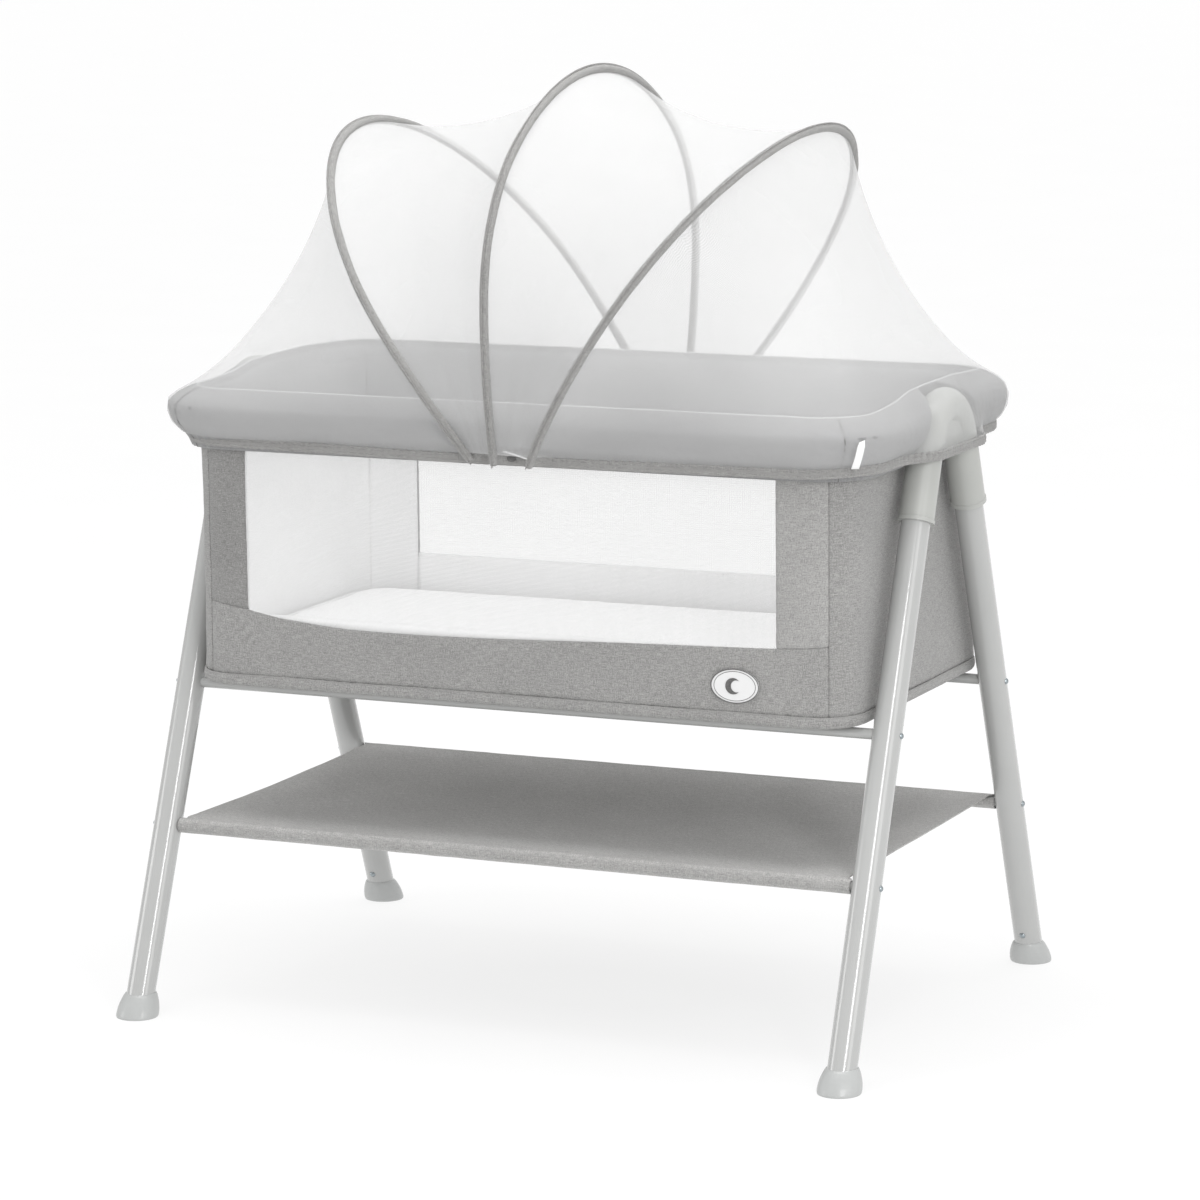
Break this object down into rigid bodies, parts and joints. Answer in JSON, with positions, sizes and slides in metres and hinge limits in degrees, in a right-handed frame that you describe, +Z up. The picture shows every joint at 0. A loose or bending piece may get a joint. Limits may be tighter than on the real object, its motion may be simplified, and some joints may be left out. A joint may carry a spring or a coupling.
{
  "type": "bassinet_on_stand",
  "caption": "Bassinet with a grey fabric basket, white mesh windows and a tented insect net on hoops, on an A-frame steel stand with a fabric storage shelf.",
  "frame": {"origin": "On the floor, midway between the four feet.", "axes": "+X runs along the bassinet to the end with the badge, +Y runs from the front face to the rear face, +Z is up."},
  "size_m": [1.0723, 0.797, 1.249],
  "materials": {
    "leg_paint": "satin",
    "head_plastic": "satin",
    "foot_plastic": "satin",
    "zinc": "brushed",
    "heather_fabric": "woven",
    "rim_fabric": "woven",
    "white_mesh": "mesh",
    "mattress_cover": "woven",
    "shelf_fabric": "woven",
    "net": "fine net",
    "net_tape": "woven",
    "net_binding": "woven",
    "badge_patch": "woven",
    "board": "matte"
  },
  "bodies": {
    "root": {"leg_front_left": "leg_paint", "foot_front_left": "foot_plastic", "leg_front_right": "leg_paint", "foot_front_right": "foot_plastic", "leg_rear_left": "leg_paint", "foot_rear_left": "foot_plastic", "leg_rear_right": "leg_paint", "foot_rear_right": "foot_plastic", "head_left": "head_plastic", "head_right": "head_plastic", "crossbar_front": "leg_paint", "shelf_rod_front": "leg_paint", "crossbar_rear": "leg_paint", "shelf_rod_rear": "leg_paint", "rod_screws": "zinc", "rod_inserts": "board", "foot_screws": "zinc", "storage_shelf": "shelf_fabric", "rim_rail_front": "leg_paint", "rim_rail_rear": "leg_paint", "rim_end_left": "leg_paint", "rim_end_right": "leg_paint", "rim_bolts": "zinc", "rim_pad_front": "rim_fabric", "rim_pad_rear": "rim_fabric", "rim_pad_left": "rim_fabric", "rim_pad_right": "rim_fabric", "front_panel": "heather_fabric", "window_front": "white_mesh", "window_side_front_left": "heather_fabric", "window_side_front_right": "heather_fabric", "rear_panel": "heather_fabric", "window_rear": "white_mesh", "window_side_rear_left": "heather_fabric", "window_side_rear_right": "heather_fabric", "end_panel_left": "heather_fabric", "end_panel_right": "heather_fabric", "bottom_panel": "heather_fabric", "bottom_piping": "heather_fabric", "base_board": "board", "inner_lining": "white_mesh", "badge": "badge_patch", "net_hem": "net_binding", "hoop_pockets": "net_binding", "hoop_rod_center": "zinc", "hoop_sleeve_center": "net_binding", "rod_tips_center": "board", "net_middle_left": "net", "net_end_left": "net", "net_middle_right": "net", "net_end_right": "net", "corner_tab": "net_tape"},
    "hoop_left": {"hoop_rod_left": "zinc", "hoop_sleeve_left": "net_binding", "rod_tips_left": "board"},
    "hoop_right": {"hoop_rod_right": "zinc", "hoop_sleeve_right": "net_binding", "rod_tips_right": "board"},
    "mattress": {"mattress": "mattress_cover"}
  },
  "joints": [
    {"name": "hoop_left_fold", "type": "hinge", "parent": "root", "child": "hoop_left", "pos_m": [-0.034, 0, 0.763], "axis": [0, 1, 0], "range_deg": [0, 33], "deforming": ["net_middle_left", "net_end_left"]},
    {"name": "hoop_right_fold", "type": "hinge", "parent": "root", "child": "hoop_right", "pos_m": [0.058, 0, 0.763], "axis": [0, -1, 0], "range_deg": [0, 32], "deforming": ["net_middle_right", "net_end_right"]},
    {"name": "mattress_lift", "type": "slide", "parent": "root", "child": "mattress", "axis": [0, 0, 1], "range_m": [0, 0.3]}
  ]
}
